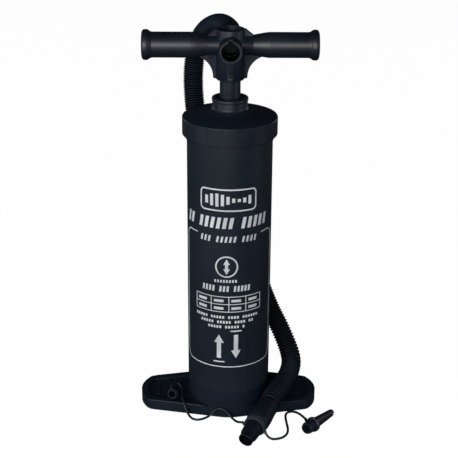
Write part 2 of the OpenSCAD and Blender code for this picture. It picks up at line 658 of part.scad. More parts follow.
module adapter_right() color("#232b34") {
    flange_at = right_at + 15.5 * right_dir;
    end = len(tether_right_route) - 1;
    along(right_at, right_dir) difference() {
        rotate_extrude() polygon([
            [5, 0], [6.8, 0], [7, 1], [7, 13], [7.2, 14], [right_flange, 14.3], [right_flange, 17],
            [7, 17.5], [7, 20], [6.6, 22], [4.5, right_len - 2], [4.1, right_len], [2.7, right_len],
            [3, 22], [5, 16]]);
        translate([-1.1, -6, right_len - 8]) cube([2.2, 12, 9]);
    }
    tab(edge_towards(flange_at, right_dir, right_flange - 1, tether_right_route[end]), right_dir, 2.4,
        tether_right_route, end);
}

foot_base();
barrel();
base_seal();
bottom_bumper();
screw_cap();
cap_gasket();
guide_bush();
rod_wiper();
top_bumper();
piston_rod();
piston_lower();
piston_upper();
piston_seal();
piston_screws();
rod_pin();
inflate_valve_lower();
inflate_valve_upper();
deflate_valve_lower();
deflate_valve_upper();
handle_hub();
hub_cap();
hub_screws();
grip_left();
grip_right();
hose_connector();
connector_seal();
hose_upper();
hose_lower();
hose_cuff();
tether_ring();
nozzle();
tether_left();
adapter_left();
tether_right();
adapter_right();
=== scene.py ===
import math

import bmesh
import bpy
from mathutils import Matrix, Vector


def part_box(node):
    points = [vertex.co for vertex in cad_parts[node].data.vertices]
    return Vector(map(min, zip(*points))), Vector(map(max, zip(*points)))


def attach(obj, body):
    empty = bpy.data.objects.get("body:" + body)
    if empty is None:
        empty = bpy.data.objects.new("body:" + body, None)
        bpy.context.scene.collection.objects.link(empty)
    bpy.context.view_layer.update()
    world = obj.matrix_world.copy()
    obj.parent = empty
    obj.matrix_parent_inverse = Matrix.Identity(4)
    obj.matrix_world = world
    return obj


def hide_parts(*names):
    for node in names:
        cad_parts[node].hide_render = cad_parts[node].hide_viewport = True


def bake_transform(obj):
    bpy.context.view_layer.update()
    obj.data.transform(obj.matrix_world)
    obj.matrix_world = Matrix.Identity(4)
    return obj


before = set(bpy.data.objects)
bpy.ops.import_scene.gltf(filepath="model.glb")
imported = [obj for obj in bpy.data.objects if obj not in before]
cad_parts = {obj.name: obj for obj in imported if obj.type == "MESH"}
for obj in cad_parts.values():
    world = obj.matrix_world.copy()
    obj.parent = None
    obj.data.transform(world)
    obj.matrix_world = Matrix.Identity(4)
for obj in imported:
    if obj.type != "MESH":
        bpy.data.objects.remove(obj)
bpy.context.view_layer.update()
scene = bpy.context.scene
mm = 0.001


# small helpers for vectors and routes
def point(values):
    return Vector(values) * mm


def smoothPath(points, step):
    # a curve through the points, with a point about every step
    p = [Vector(q) for q in points]
    p = [p[0] * 2 - p[1]] + p + [p[-1] * 2 - p[-2]]
    path = []
    for i in range(1, len(p) - 2):
        count = max(1, round((p[i + 1] - p[i]).length / step))
        for k in range(count):
            t = k / count
            path.append(0.5 * (2 * p[i] + (p[i + 1] - p[i - 1]) * t
                        + (2 * p[i - 1] - 5 * p[i] + 4 * p[i + 1] - p[i + 2]) * t * t
                        + (3 * p[i] - p[i - 1] - 3 * p[i + 1] + p[i + 2]) * t ** 3))
    return path + [p[-2]]


def pathLength(path):
    return sum((b - a).length for a, b in zip(path, path[1:]))


def along(origin, direction):
    # a frame at origin whose Z runs along direction
    z = Vector(direction).normalized()
    x = (Vector((0, 0, 1)) - z * z.z).normalized() if abs(z.z) < 0.99 else Vector((1, 0, 0))
    y = z.cross(x)
    matrix = Matrix((x, y, z)).transposed().to_4x4()
    matrix.translation = Vector(origin) * mm
    return matrix


# camera
view = {"place": (-13.46, -1334.84, 780.42), "lens": 21.93, "down": 22.233, "yaw": 0.562, "roll": -0.341}


def placeCamera():
    down, yaw, roll = (math.radians(view[key]) for key in ("down", "yaw", "roll"))
    forward = Vector((math.sin(yaw) * math.cos(down), math.cos(yaw) * math.cos(down), -math.sin(down)))
    right = Vector((math.cos(yaw), -math.sin(yaw), 0))
    under = forward.cross(right)
    x = right * math.cos(roll) + under * math.sin(roll)
    y = right * math.sin(roll) - under * math.cos(roll)
    camera = bpy.data.objects.new("camera", bpy.data.cameras.new("camera"))
    matrix = Matrix((x, y, -forward)).transposed().to_4x4()
    matrix.translation = point(view["place"])
    camera.matrix_world = matrix
    camera.data.angle = math.radians(view["lens"])
    camera.data.clip_end = 20
    scene.collection.objects.link(camera)
    scene.camera = camera


placeCamera()
print("camera placed")


# materials
class Wire:
    def __init__(self, finish, socket):
        self.finish, self.socket = finish, socket

    def maths(self, operation, first, *others):
        values = dict(enumerate((first,) + others))
        return self.finish.make("ShaderNodeMath", {"operation": operation}, values)

    def __add__(self, other):
        return self.maths("ADD", self, other)

    def __sub__(self, other):
        return self.maths("SUBTRACT", self, other)

    def __rsub__(self, other):
        return self.maths("SUBTRACT", other, self)

    def __mul__(self, other):
        return self.maths("MULTIPLY", self, other)

    __radd__, __rmul__ = __add__, __mul__


class Finish:
    def __init__(self, name, constants):
        self.material = bpy.data.materials.new(name)
        self.material.use_nodes = True
        self.tree = self.material.node_tree
        self.surface = self.tree.nodes["Principled BSDF"]
        self.feed(self.surface, constants)

    def feed(self, node, sockets):
        for name, value in sockets.items():
            if isinstance(value, Wire):
                self.tree.links.new(value.socket, node.inputs[name])
            else:
                node.inputs[name].default_value = value

    def make(self, kind, settings=None, sockets=None, output=0):
        node = self.tree.nodes.new(kind)
        for name, value in (settings or {}).items():
            if name == "stops":
                ramp = node.color_ramp.elements
                while len(ramp) < len(value):
                    ramp.new(0.5)
                for element, (position, level) in zip(ramp, value):
                    element.position, element.color = position, (level, level, level, 1)
            else:
                setattr(node, name, value)
        self.feed(node, sockets or {})
        return Wire(self, node.outputs[output])

    def place(self, scale=(1, 1, 1)):
        spot = self.make("ShaderNodeTexCoord", output=3)
        return self.make("ShaderNodeMapping", None, {"Vector": spot, "Scale": scale})

    def noise(self, scale, detail=3, stretch=(1, 1, 1)):
        sockets = {"Vector": self.place(stretch), "Scale": scale, "Detail": detail}
        return self.make("ShaderNodeTexNoise", None, sockets)

    def between(self, low, high, value):
        # 0 below low, 1 above high
        return self.make("ShaderNodeMapRange", {"interpolation_type": "SMOOTHSTEP"},
                         {"Value": value, "From Min": low, "From Max": high})

    def mix(self, factor, first, second):
        return self.make("ShaderNodeMix", {"data_type": "RGBA"}, {0: factor, 6: first, 7: second}, 2)


def shade(color, factor):
    return tuple(min(1, c * factor) for c in color) + (1,)


def plastic(name, look):
    # satin moulded plastic: flow marks, fine grain, thin scuffs, paler edges rubbed by wear; for the hose
    # also painted shade between the ribs
    f = Finish(name, {"Specular IOR Level": look.get("shine", 0.5)})
    color = look["color"]
    flow = f.noise(look.get("flow", 26), 2)
    cloudy = f.mix(f.between(0.3, 0.7, flow), shade(color, 0.86), shade(color, 1.16))
    scuffs = f.between(0.66, 0.74, f.noise(160, 4, (1, 1, 0.18))) * f.between(0.5, 0.62, f.noise(30, 2))
    scuffedAndShaded = f.mix(scuffs * look.get("scuffs", 0.3), cloudy, shade(color, 2.6))
    if "paintedValleyShade" in look:
        # painted shade between the ribs of the hose: darker in the valleys, read from the crown mark
        crown = f.make("ShaderNodeAttribute", {"attribute_name": "crown"}, output=2)
        scuffedAndShaded = f.mix(f.between(0.3, 0.85, crown), shade(color, look["paintedValleyShade"]), scuffedAndShaded)
    edge = f.between(0.53, 0.62, f.make("ShaderNodeNewGeometry", output=7))
    rubbed = edge * look.get("wear", 0.25) * f.between(0.35, 0.65, f.noise(90, 3))
    # the colour so far holds the scuffs and, for the hose, the painted shade between the ribs
    wornAndShaded = f.mix(rubbed, scuffedAndShaded, shade(color, 3))
    grain = f.noise(look.get("grain", 1500), 2)
    bump = f.make("ShaderNodeBump", None,
                  {"Strength": look.get("bump", 0.16), "Distance": 0.0002, "Height": grain})
    rough = look["roughness"] + (flow - 0.5) * 0.12 + scuffs * 0.12 + (grain - 0.5) * 0.06
    f.feed(f.surface, {"Base Color": wornAndShaded, "Roughness": rough, "Normal": bump})
    return f.material


def metal(name, look):
    # brushed steel with fine lines and dull spots
    f = Finish(name, {"Metallic": 1.0})
    lines = f.noise(700, 4, (1, 1, 6))
    spots = f.between(0.6, 0.7, f.noise(140, 3))
    color = f.mix(f.between(0.3, 0.7, lines), shade(look["color"], 0.8), shade(look["color"], 1.1))
    bump = f.make("ShaderNodeBump", None, {"Strength": 0.1, "Distance": 0.0001, "Height": lines})
    f.feed(f.surface, {"Base Color": f.mix(spots * 0.4, color, shade(look["color"], 0.45)),
                       "Roughness": look["roughness"] + spots * 0.2, "Normal": bump})
    return f.material


looks = {
    "body": {"color": (0.0058, 0.0112, 0.0198), "roughness": 0.43, "shine": 0.3},
    "barrel": {"color": (0.0080, 0.0138, 0.0222), "roughness": 0.46, "flow": 9, "shine": 0.24},
    "grip": {"color": (0.0050, 0.0086, 0.0158), "roughness": 0.44, "shine": 0.6},
    # hose: its last value sets how deep the painted shade between the ribs is
    "hose": {"color": (0.0066, 0.0124, 0.0220), "roughness": 0.55, "scuffs": 0.1, "wear": 0.1,
             "shine": 0.12, "paintedValleyShade": 0.06},
    "nozzle": {"color": (0.0056, 0.0102, 0.0180), "roughness": 0.45, "scuffs": 0.15, "wear": 0.12,
               "shine": 0.16},
    # nozzle body tone, darker than the flutes: painted shade between the nozzle's flutes
    "paintedGrooveShade": {"color": (0.0022, 0.0040, 0.0075), "roughness": 0.5, "scuffs": 0.1, "wear": 0.1, "shine": 0.2},
    # ring tone paler than the body plastic: partly a painted highlight, the ring being the same plastic as
    # the body
    "ring": {"color": (0.03, 0.038, 0.05), "roughness": 0.24, "shine": 0.9},
    "tether": {"color": (0.010, 0.0145, 0.021), "roughness": 0.42, "shine": 0.35},
    "rod": {"color": (0.0080, 0.0115, 0.0180), "roughness": 0.3, "bump": 0.05, "scuffs": 0.6, "shine": 0.35},
    # near-black: painted shade, used on the hub cap's recess and inside the front port
    "dark": {"color": (0.0016, 0.0020, 0.0035), "roughness": 0.5, "wear": 0, "shine": 0.12},
    "inner": {"color": (0.17, 0.18, 0.19), "roughness": 0.5},
    "print": {"color": (0.6, 0.63, 0.66), "roughness": 0.5, "wear": 0, "scuffs": 0.1, "bump": 0.05},
}
finishes = {name: plastic(name + "Plastic", look) for name, look in looks.items()}
finishes["seal"] = plastic("sealRubber", {"color": (0.012, 0.012, 0.013), "roughness": 0.6, "wear": 0})
finishes["valve"] = plastic("valveRubber", {"color": (0.1, 0.022, 0.016), "roughness": 0.62, "wear": 0})
finishes["steel"] = metal("screwSteel", {"color": (0.5, 0.51, 0.53), "roughness": 0.3})
finishes["darkSteel"] = metal("darkSteel", {"color": (0.03, 0.033, 0.038), "roughness": 0.45})
print("materials made")


def dress(piece, finish):
    piece.data.materials.clear()
    piece.data.materials.append(finishes[finish])
    return piece


# mesh helpers
def newPiece(name, mesh):
    piece = bpy.data.objects.new(name, mesh)
    scene.collection.objects.link(piece)
    return piece


def fromBmesh(name, bm, sharp=38, recalculate=True):
    if recalculate:
        bmesh.ops.remove_doubles(bm, verts=bm.verts, dist=1e-6)
        bmesh.ops.recalc_face_normals(bm, faces=bm.faces)
    mesh = bpy.data.meshes.new(name)
    bm.to_mesh(mesh)
    bm.free()
    mesh.polygons.foreach_set("use_smooth", [True] * len(mesh.polygons))
    mesh.set_sharp_from_angle(angle=math.radians(sharp))
    return newPiece(name, mesh)


def turned(name, profile, place, sides=64, sharp=38):
    # closed outline of (radius, height) in mm, turned about the Z axis of place
    bm = bmesh.new()
    rings = []
    for radius, height in profile:
        if radius < 1e-6:
            rings.append([bm.verts.new(place @ point((0, 0, height)))] * sides)
        else:
            turns = [2 * math.pi * k / sides for k in range(sides)]
            rings.append([bm.verts.new(place @ point((radius * math.cos(a), radius * math.sin(a), height)))
                          for a in turns])
    closed = profile[0][0] > 1e-6 or profile[-1][0] > 1e-6
    pairs = list(zip(rings, rings[1:])) + ([(rings[-1], rings[0])] if closed else [])
    for low, high in pairs:
        for k in range(sides):
            corners = []
            for v in (low[k], low[(k + 1) % sides], high[(k + 1) % sides], high[k]):
                if v not in corners:
                    corners.append(v)
            if len(corners) > 2:
                bm.faces.new(corners)
    return fromBmesh(name, bm, sharp)


def softened(name, node, width, angle=32, steps=2):
    # the CAD shape with its edges rounded
    bm = bmesh.new()
    bm.from_mesh(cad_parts[node].data)
    bmesh.ops.remove_doubles(bm, verts=bm.verts, dist=2e-6)
    bmesh.ops.dissolve_limit(bm, angle_limit=math.radians(1), verts=bm.verts, edges=bm.edges)
    piece = fromBmesh(name, bm, sharp=angle, recalculate=False)
    bevel = piece.modifiers.new("edges", "BEVEL")
    bevel.width, bevel.segments, bevel.limit_method = width * mm, steps, "ANGLE"
    bevel.angle_limit = math.radians(angle)
    bevel.harden_normals = True
    return piece


# geometry node trees
class Tree:
    def __init__(self, name, inputs):
        self.group = bpy.data.node_groups.new(name, "GeometryNodeTree")
        face = self.group.interface
        face.new_socket("Geometry", in_out="INPUT", socket_type="NodeSocketGeometry")
        for label, kind in inputs.items():
            face.new_socket(label, in_out="INPUT", socket_type=kind)
        face.new_socket("Geometry", in_out="OUTPUT", socket_type="NodeSocketGeometry")
        self.given = self.make("NodeGroupInput")
        self.result = self.make("NodeGroupOutput")

    def make(self, kind, settings=None, sockets=None):
        node = self.group.nodes.new(kind)
        for name, value in (settings or {}).items():
            setattr(node, name, value)
        for name, value in (sockets or {}).items():
            self.feed(node, name, value)
        return node

    def feed(self, node, name, value):
        if isinstance(value, bpy.types.Node):
            value = value.outputs[0]
        if isinstance(value, bpy.types.NodeSocket):
            self.group.links.new(value, node.inputs[name])
        else:
            node.inputs[name].default_value = value

    def maths(self, operation, *values):
        return self.make("ShaderNodeMath", {"operation": operation}, dict(enumerate(values)))

    def finish(self, geometry):
        whole = self.make("GeometryNodeRealizeInstances", None, {"Geometry": geometry})
        painted = self.make("GeometryNodeSetMaterial", None,
                            {"Geometry": whole, "Material": self.given.outputs["Material"]})
        self.feed(self.result, "Geometry", painted)
        return self.group


def grown(piece, group, values, sharp=38):
    # runs the tree on the piece and keeps the plain mesh it makes
    modifier = piece.modifiers.new("grow", "NODES")
    modifier.node_group = group
    for item in group.interface.items_tree:
        if item.in_out == "INPUT" and item.name in values:
            modifier[item.identifier] = values[item.name]
    evaluated = piece.evaluated_get(bpy.context.evaluated_depsgraph_get())
    mesh = bpy.data.meshes.new_from_object(evaluated)
    piece.modifiers.remove(modifier)
    piece.data = mesh
    mesh.polygons.foreach_set("use_smooth", [True] * len(mesh.polygons))
    mesh.set_sharp_from_angle(angle=math.radians(sharp))
    return piece


def corrugatedTree():
    # a tube along the route whose radius swells at each rib; the ribs are closer at the start
    kinds = dict.fromkeys(("Radius", "Depth", "Ribs Per Metre At Start", "Ribs Per Metre At End", "Step",
                           "Plain Start", "Plain End"), "NodeSocketFloat")
    t = Tree("corrugatedHose", {**kinds, "Sides": "NodeSocketInt", "Material": "NodeSocketMaterial"})
    g = t.given.outputs
    line = t.make("GeometryNodeMeshToCurve", None, {"Mesh": g["Geometry"]})
    rings = t.make("GeometryNodeResampleCurve", {"mode": "LENGTH"}, {"Curve": line, "Length": g["Step"]})
    where = t.make("GeometryNodeSplineParameter")
    done, run = where.outputs["Factor"], where.outputs["Length"]
    left = t.maths("SUBTRACT", t.maths("DIVIDE", run, t.maths("MAXIMUM", done, 0.0001)), run)
    change = t.maths("SUBTRACT", g["Ribs Per Metre At End"], g["Ribs Per Metre At Start"])
    count = t.maths("MULTIPLY", run, t.maths("ADD", g["Ribs Per Metre At Start"],
                                             t.maths("MULTIPLY", change, t.maths("MULTIPLY", done, 0.5))))
    wave = t.maths("MULTIPLY_ADD", t.maths("COSINE", t.maths("MULTIPLY", count, math.tau)), 0.5, 0.5)
    begun = t.make("ShaderNodeMapRange", {"interpolation_type": "SMOOTHSTEP"},
                   {"Value": run, "From Min": g["Plain Start"],
                    "From Max": t.maths("ADD", g["Plain Start"], 0.02),
                    "To Min": 0.12, "To Max": 1.0})
    ended = t.make("ShaderNodeMapRange", None,
                   {"Value": left, "From Min": g["Plain End"],
                    "From Max": t.maths("ADD", g["Plain End"], 0.004)})
    deep = t.maths("MULTIPLY", t.maths("MULTIPLY", begun, ended), g["Depth"])
    size = t.maths("SUBTRACT", g["Radius"], t.maths("MULTIPLY", deep, t.maths("POWER", wave, 1.3)))
    # crown is 1 on the rib crowns and falls to 0 in the valleys; the hose material paints shade in the
    # valleys from it
    crown = t.maths("SUBTRACT", 1.0, t.maths("MULTIPLY", wave, begun))
    marked = t.make("GeometryNodeStoreNamedAttribute", {"data_type": "FLOAT", "domain": "POINT"},
                    {"Geometry": rings, "Name": "crown", "Value": crown})
    sized = t.make("GeometryNodeSetCurveRadius", None, {"Curve": marked, "Radius": size})
    loop = t.make("GeometryNodeCurvePrimitiveCircle", None, {"Resolution": g["Sides"], "Radius": 1.0})
    tube = t.make("GeometryNodeCurveToMesh", None, {"Curve": sized, "Profile Curve": loop, "Fill Caps": True})
    if "Scale" in tube.inputs:
        t.feed(tube, "Scale", size)
    return t.finish(tube)


def aroundTree():
    # copies of one rib, turned evenly about the Z axis
    t = Tree("ribsAround", {"Count": "NodeSocketInt", "Material": "NodeSocketMaterial"})
    g = t.given.outputs
    spots = t.make("GeometryNodePoints", None, {"Count": g["Count"]})
    each = t.maths("DIVIDE", t.maths("MULTIPLY", t.make("GeometryNodeInputIndex"), math.tau), g["Count"])
    turn = t.make("ShaderNodeCombineXYZ", None, {"Z": each})
    euler = t.make("FunctionNodeEulerToRotation", None, {"Euler": turn})
    copies = t.make("GeometryNodeInstanceOnPoints", None,
                    {"Points": spots, "Instance": g["Geometry"], "Rotation": euler})
    return t.finish(copies)


trees = {"hose": corrugatedTree(), "around": aroundTree()}


# hose and tethers
freeEnd = {"ring": (32, -94.2, 15.2), "turn": 243, "dip": 12, "cuff": 38.5}
turn, dip = math.radians(freeEnd["turn"]), math.radians(freeEnd["dip"])
freeDir = Vector((math.cos(turn) * math.cos(dip), math.sin(turn) * math.cos(dip), -math.sin(dip)))
cuffStart = Vector(freeEnd["ring"]) - freeEnd["cuff"] * freeDir

hose = {
    "route": [(0, 70.2, 463), (0, 77, 463), (-2, 85, 463.8), (-6, 93.5, 465), (-11.5, 101.5, 465),
              (-18.5, 108, 462.5), (-26, 112, 457.5), (-33, 113.5, 449.5), (-38.5, 113, 439.5),
              (-42, 110.5, 428), (-44, 107, 415), (-45, 102, 399), (-44.5, 96.5, 380), (-42.5, 91.5, 358),
              (-38.5, 87, 330), (-31.5, 84.5, 300), (-21.5, 84, 268), (-8, 84, 234), (8, 83.5, 202),
              (24, 81.5, 170), (36, 78, 141), (46.5, 73.5, 114), (56, 67.5, 93), (66, 58, 75.5),
              (75, 47, 58), (80.5, 36, 45.5), (82, 26, 37.4), (80, 16, 32), (76.5, 5, 29.2),
              (71.5, -7, 27.8), (66.5, -18, 27.4), (62, -29, 27.4), (57.4, -39.5, 27.3),
              (53.4, -49.5, 26.2), tuple(cuffStart - 4 * freeDir), tuple(cuffStart)],
    "radius": 12.75, "depth": 1.6, "startRibs": 390, "endRibs": 225, "plainStart": 60, "plainEnd": 1,
    "sides": 28, "step": 0.42, "bendsFrom": 60, "bendsTo": 400,
}


def makeHose():
    path = [q * mm for q in smoothPath(hose["route"], 2)]
    mesh = bpy.data.meshes.new("hose")
    mesh.from_pydata(path, [(i, i + 1) for i in range(len(path) - 1)], [])
    piece = grown(newPiece("hose", mesh), trees["hose"], {
        "Radius": hose["radius"] * mm, "Depth": hose["depth"] * mm, "Step": hose["step"] * mm,
        "Ribs Per Metre At Start": float(hose["startRibs"]),
        "Ribs Per Metre At End": float(hose["endRibs"]),
        "Plain Start": hose["plainStart"] * mm, "Plain End": hose["plainEnd"] * mm,
        "Sides": hose["sides"], "Material": finishes["hose"]}, sharp=80)
    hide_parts("hose_upper", "hose_lower")
    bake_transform(piece)
    return piece, path


hosePiece, hosePath = makeHose()
print("hose made,", len(hosePiece.data.polygons), "faces")

tethers = {
    "left": [(17, -80.2, 10.8), (14.8, -73.5, 7), (12, -67.5, 3.5), (8.5, -62.5, 2.2), (4.2, -58.2, 3.8),
             (-0.5, -55, 8), (-5.5, -53, 12.2), (-11, -52, 13.6), (-16.5, -51, 11), (-21, -51.2, 6),
             (-26.5, -53.5, 2.4), (-33, -57.5, 1.8), (-39.5, -59.2, 1.8), (-45.5, -56.5, 2), (-50, -51, 4),
             (-53.5, -46.2, 9), (-55.8, -42.5, 14.5), (-57.5, -37.5, 17.3), (-58.6, -31, 18.2),
             (-58.8, -24, 19.5), (-59.5, -17, 22), (-62, -12.5, 25), (-66, -11.8, 27.4),
             (-69.6, -14.8, 29.2), (-71.2, -19.4, 29)],
    "right": [(45, -101, 7.5), (48.6, -103, 3.7), (53.3, -103.8, 1.9), (59, -103, 1.8), (65, -100.2, 1.8),
              (69.8, -94.5, 1.8), (72.3, -87, 1.8), (72.8, -79, 1.8), (72.2, -70, 1.8), (71.6, -61, 1.8),
              (71.4, -52, 1.8), (72.6, -44.8, 1.8), (76, -40.8, 1.8), (80.6, -40.4, 2.2), (85.2, -43.8, 3.2),
              (89, -50.5, 4.8), (92.3, -58.5, 6.4), (95.2, -66.5, 7.6)],
    "diameter": 3,
}


def roundLine(name, path, radius, steps, tapered=False):
    # a round line along the path; tapered thins its last few points
    curve = bpy.data.curves.new(name, "CURVE")
    curve.dimensions = "3D"
    curve.bevel_depth, curve.bevel_resolution, curve.use_fill_caps = radius * mm, steps, True
    spline = curve.splines.new("POLY")
    spline.points.add(len(path) - 1)
    for i, (spot, q) in enumerate(zip(spline.points, path)):
        spot.co = (*q, 1)
        if tapered:
            spot.radius = min(1, 0.6 + 0.1 * min(i, len(path) - 1 - i))
    spline.use_smooth = True
    return newPiece(name, curve)


def makeTether(side):
    path = [q * mm for q in smoothPath(tethers[side], 1.5)]
    piece = roundLine("tetherCord_" + side, path, tethers["diameter"] / 2, 4)
    dress(piece, "tether")
    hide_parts("tether_" + side)
    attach(piece, "stand")
    pathLength(path)
    return piece


# the free end: cuff, ring, nozzle
endPlace = along(freeEnd["ring"], freeDir)
cuffOutline = [(9.5, -38.5), (12.7, -38.5), (13.1, -38.1), (13.2, -36.8), (13.3, -30), (13.8, -24),
               (14.3, -19), (14.5, -14), (14.5, -6.6), (14.2, -5.3), (13.4, -4), (12.4, -2.8),
               (9.9, -2.6), (9.9, -37)]
nozzle = {"outline": [(7, -2.5), (9.8, -2.5), (9.8, 2.55), (10.5, 2.6), (10.8, 3), (9.6, 20),
                      (9.1, 20.7), (8.9, 21.8), (9, 22.6), (9, 27.2), (8.8, 28), (8.2, 28.5),
                      (7.5, 28.5), (7.1, 28.1), (7, 27.3)],
          "ribs": {"count": 24, "low": (10.7, 3.2), "high": (9.5, 19.8), "width": 1.3, "proud": 0.8}}


def makeRibs(name, place, ribs, finish):
    # low and high are (radius, height) of a rib's two ends
    bm = bmesh.new()
    rows = []
    width, proud = ribs["width"], ribs["proud"]
    for radius, height in (ribs["low"], ribs["high"]):
        rows.append([bm.verts.new(point(corner)) for corner in
                     ((radius - 0.6, -width / 2, height), (radius + proud * 0.7, -width * 0.4, height),
                      (radius + proud, 0, height), (radius + proud * 0.7, width * 0.4, height),
                      (radius - 0.6, width / 2, height))])
    bm.faces.new(rows[0])
    bm.faces.new(rows[1][::-1])
    for k in range(5):
        bm.faces.new((rows[0][k], rows[0][(k + 1) % 5], rows[1][(k + 1) % 5], rows[1][k]))
    piece = grown(fromBmesh(name, bm, 30), trees["around"],
                  {"Count": ribs["count"], "Material": finishes[finish]}, 50)
    piece.data.transform(place)
    return piece


nozzlePieces = []
for node, piece, finish, slot in (
        ("hose_cuff", turned("cuffSleeve", cuffOutline, endPlace, 64), "nozzle", "hose_plastic"),
        ("tether_ring", softened("tetherRing", "tether_ring", 0.7, 40, 2), "ring", "ring_plastic"),
        # the nozzle body takes the darker tone as painted shade between the flutes
        ("nozzle", turned("nozzleBody", nozzle["outline"], endPlace, 64), "paintedGrooveShade", "hose_plastic")):
    dress(piece, finish)
    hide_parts(node)
    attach(piece, "stand")
    nozzlePieces.append(piece)
flutes = makeRibs("nozzleFlutes", endPlace, nozzle["ribs"], "nozzle")
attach(flutes, "stand")
nozzlePieces.append(flutes)
pathLength(hosePath)
2 * hose["radius"] * mm
nozzlePieces + ["hose_connector"]

# adapters on the tethers
adapterRibs = {"at": (94.4, -95.5, 11.5), "way": (35.2, 49.5, -7), "count": 18, "low": (6.95, 1.4),
               "high": (7, 12.8), "width": 1.1, "proud": 0.6}
adapterLeft = dress(softened("adapterLeft", "adapter_left", 0.35, 40, 2), "body")
adapterRight = dress(softened("adapterRight", "adapter_right", 0.4, 40, 2), "body")
for piece, node in ((adapterLeft, "adapter_left"), (adapterRight, "adapter_right")):
    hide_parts(node)
    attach(piece, "stand")
adapterFlutes = makeRibs("adapterFlutes", along(adapterRibs["at"], adapterRibs["way"]), adapterRibs,
                         "body")
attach(adapterFlutes, "stand")
makeTether("left")
makeTether("right")
print("free end, adapters and tethers made")

# foot, cap, handle hub and hub cap
for name, node, width, angle, finish, slot, body in (
        ("footBase", "foot_base", 1.8, 30, "body", "blue_black_plastic", "stand"),
        ("screwCap", "screw_cap", 0.7, 28, "body", "blue_black_plastic", "stand"),
        ("handleHub", "handle_hub", 0.7, 34, "body", "blue_black_plastic", "handle"),
        # the hub cap in near-black is painted shade for the shadowed recess on top of the hub
        ("hubCap", "hub_cap", 0.4, 34, "dark", "blue_black_plastic", "handle")):
    piece = dress(softened(name, node, width, angle, 3), finish)
    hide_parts(node)
    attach(piece, body)

# rounded bead along the top edge of the foot
bead = {"lean": 12.4, "reach": 50.3, "from": 30, "to": 101, "height": 13.1, "radius": 1.5, "steps": 30}


def makeBead(name, sideX, sideY):
    lean = math.radians(bead["lean"])
    path = []
    for k in range(bead["steps"] + 1):
        x = bead["from"] + (bead["to"] - bead["from"]) * k / bead["steps"]
        y = (bead["reach"] - x * math.sin(lean)) / math.cos(lean)
        path.append(point((sideX * x, sideY * y, bead["height"])))
    piece = roundLine(name, path, bead["radius"], 5, tapered=True)
    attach(dress(piece, "body"), "stand")


for name, sideX, sideY in (("footBeadLeft", -1, -1), ("footBeadRight", 1, -1),
                           ("footBeadBackLeft", -1, 1), ("footBeadBackRight", 1, 1)):
    makeBead(name, sideX, sideY)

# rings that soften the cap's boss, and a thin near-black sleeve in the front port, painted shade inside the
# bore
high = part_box("screw_cap")[1][2] / mm
low = high - 15.5
bossRings = {
    "bossFillet": [(20.4, low - 1), (25.4, low - 1), (25.4, low - 0.35), (23.6, low + 0.1), (22.3, low + 1),
                   (21.4, low + 2.4), (20.9, low + 4.2), (20.4, low + 4.2)],
    "bossCollar": [(20.4, high - 4.8), (20.9, high - 4.8), (21.4, high - 4.4), (21.5, high - 3.9),
                   (21.5, high - 1.5), (21.2, high - 0.8), (20.6, high - 0.4), (20.2, high - 0.4)]}
for name, outline in bossRings.items():
    ring = dress(turned(name, outline, Matrix(), 96), "body")
    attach(ring, "stand")
bore = {"radius": 10.4, "mouth": -37.2, "step": -14.1, "inner": 9.6, "end": -1.1, "wall": 0.15}
outside = [(bore["radius"], bore["mouth"]), (bore["radius"], bore["step"]), (bore["inner"], bore["step"]),
           (bore["inner"], bore["end"]), (0, bore["end"])]
inside = [(max(0, r - bore["wall"]), y - bore["wall"]) for r, y in outside[:0:-1]]
boreOutline = outside + inside + [(bore["radius"] - bore["wall"], bore["mouth"])]
axisHeight = 463
# the sleeve is no real part: it paints the shade inside the bore
boreShade = turned("portBoreShade", boreOutline, along((0, 0, axisHeight), (0, 1, 0)), 64)
dress(boreShade, "dark")
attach(boreShade, "handle")

# grips
grip = {"outline": [(11.8, 26.3), (12.3, 29.3), (13.2, 34.3), (14.1, 39.3), (14.7, 44.3), (14.8, 50),
                    (14.8, 88.5), (14.9, 90.3), (15.3, 91.8), (16.1, 93.1), (17, 94.2), (17.45, 95.2),
                    (17.6, 96.4), (17.6, 98.6), (17.4, 99.6), (16.8, 100.5), (15.8, 101.3), (14.4, 101.8),
                    (12, 102), (0, 102)],
        "inside": [(0, 99), (9.9, 99), (9.9, 26.3)]}
for side, sign in (("left", -1), ("right", 1)):
    place = Matrix.Translation(point((0, 0, axisHeight))) @ Matrix.Rotation(sign * math.pi / 2, 4, "Y")
    profile = [tuple(q)[:2] for q in smoothPath([(*p, 0) for p in grip["outline"]], 1.2)]
    piece = dress(turned("grip_" + side + "_sleeve", profile + grip["inside"], place, 72, 45), "grip")
    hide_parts("grip_" + side)
    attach(piece, "handle")
print("base, cap and handle made")

# print on the barrel: plain shapes only, in mm round the front (u) and up the barrel (v)
label = {"radius": 51, "proud": 0.1, "line": 1.3, "middle": -0.5}


def stroke(points, width, closed=False):
    # a line of even width along the points, as quads
    p = [Vector(q) for q in points]
    count = len(p)
    sides = []
    for i in range(count):
        before = p[(i - 1) % count] if closed or i else p[i]
        after = p[(i + 1) % count] if closed or i < count - 1 else p[i]
        way = (after - before).normalized()
        normal = Vector((-way.y, way.x))
        reach = width / 2
        if before is not p[i] and after is not p[i]:
            arriving = (p[i] - before).normalized()
            reach = width / 2 / max(0.5, normal.dot(Vector((-arriving.y, arriving.x))))
        sides.append((p[i] + normal * reach, p[i] - normal * reach))
    pairs = list(zip(sides, sides[1:])) + ([(sides[-1], sides[0])] if closed else [])
    return [(a[1], b[1], b[0], a[0]) for a, b in pairs]


